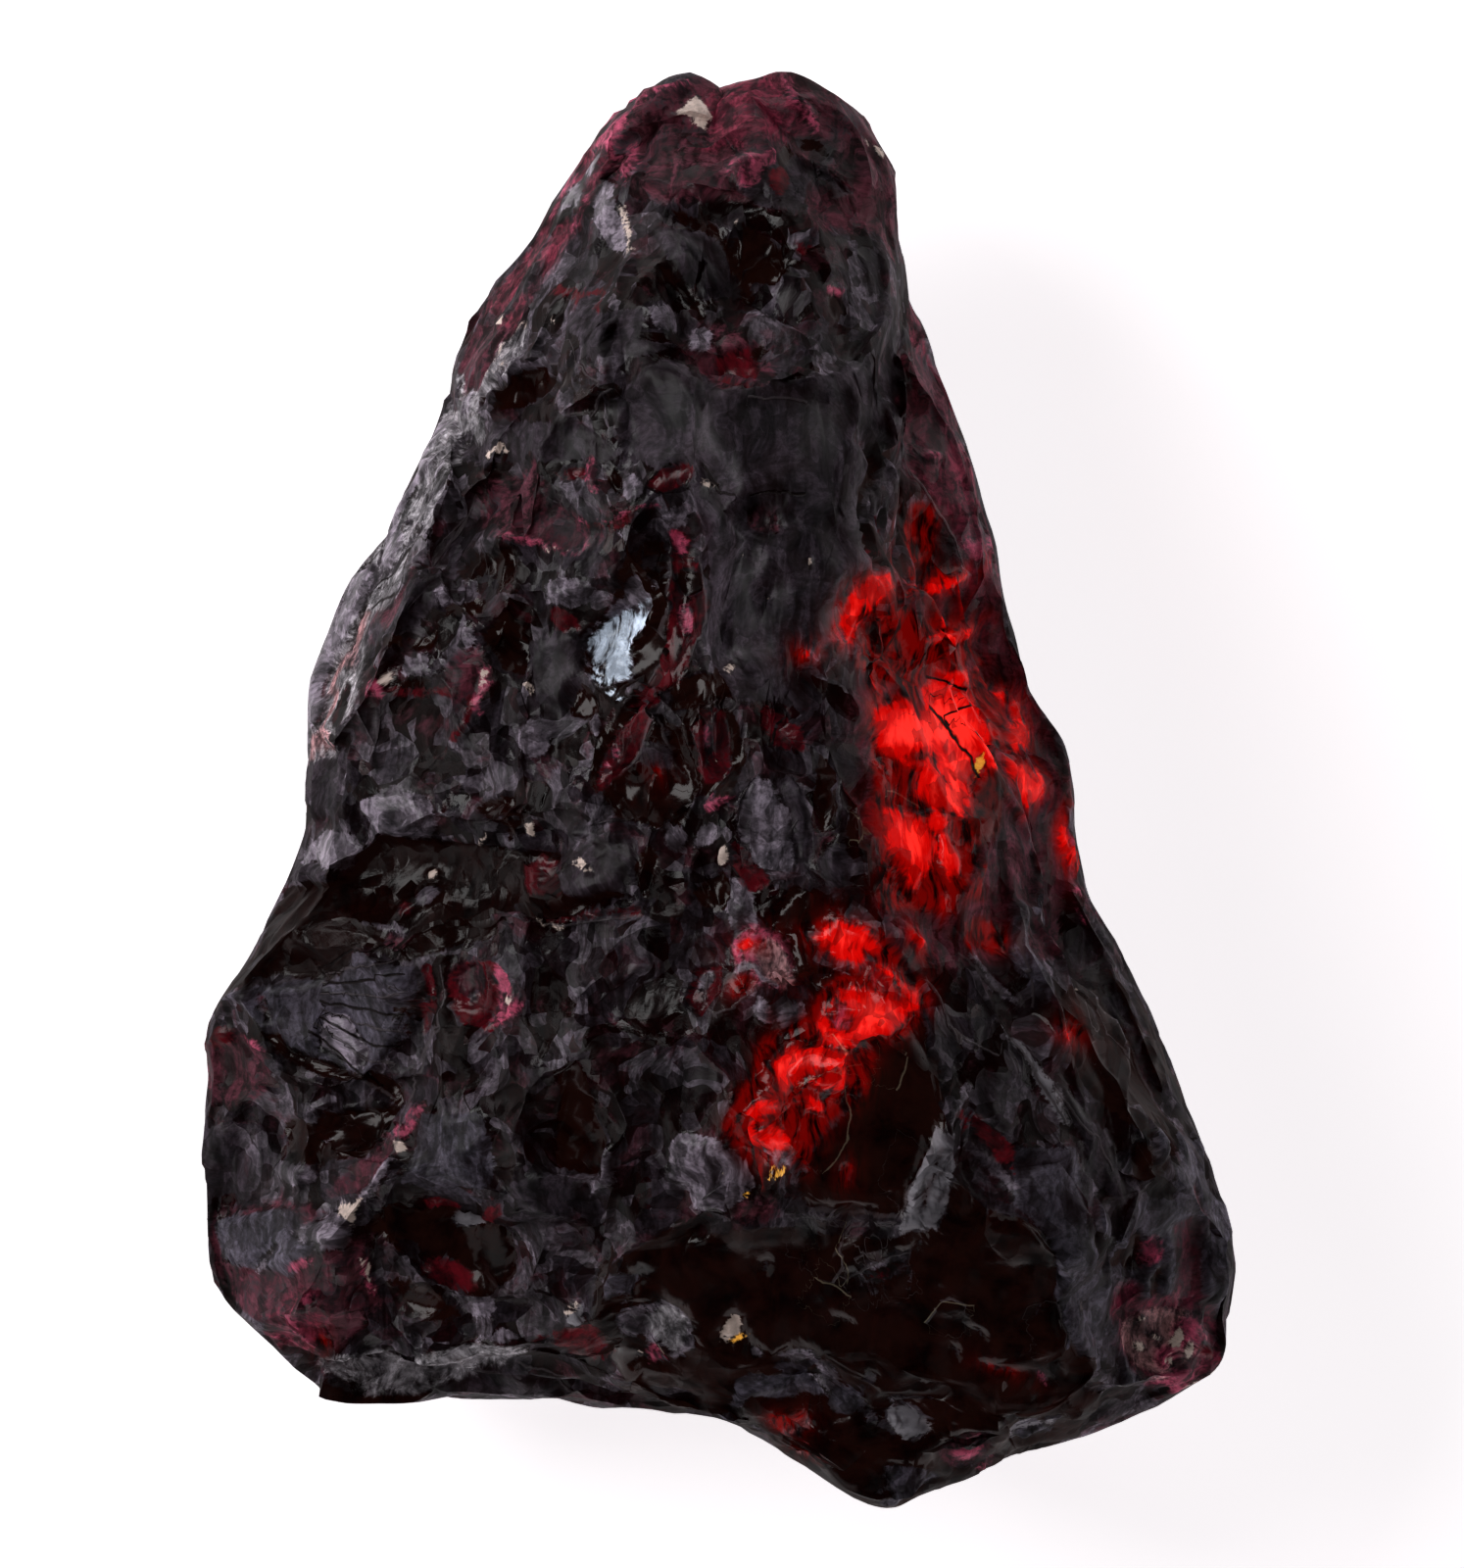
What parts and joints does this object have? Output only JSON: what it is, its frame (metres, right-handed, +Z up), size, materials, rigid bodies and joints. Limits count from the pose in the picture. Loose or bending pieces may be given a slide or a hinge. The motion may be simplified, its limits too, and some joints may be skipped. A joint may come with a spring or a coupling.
{
  "type": "rough crystal specimen",
  "caption": "Rough, broken lump of dark red, nearly black painite crystal, tapering to a blunt tip and resting on its broad back face.",
  "frame": {"origin": "under the middle of the stone's outline, on the flat back face that it rests on", "axes": "+Y from the wide end to the narrow tip, +Z up out of the broad front face"},
  "size_m": [0.0286, 0.04, 0.0173],
  "materials": {
    "crystal": "glassy on fresh breaks, satin on worn ones, deep red where light gets in"
  },
  "bodies": {
    "root": {"painite_stone": "crystal"}
  },
  "joints": []
}
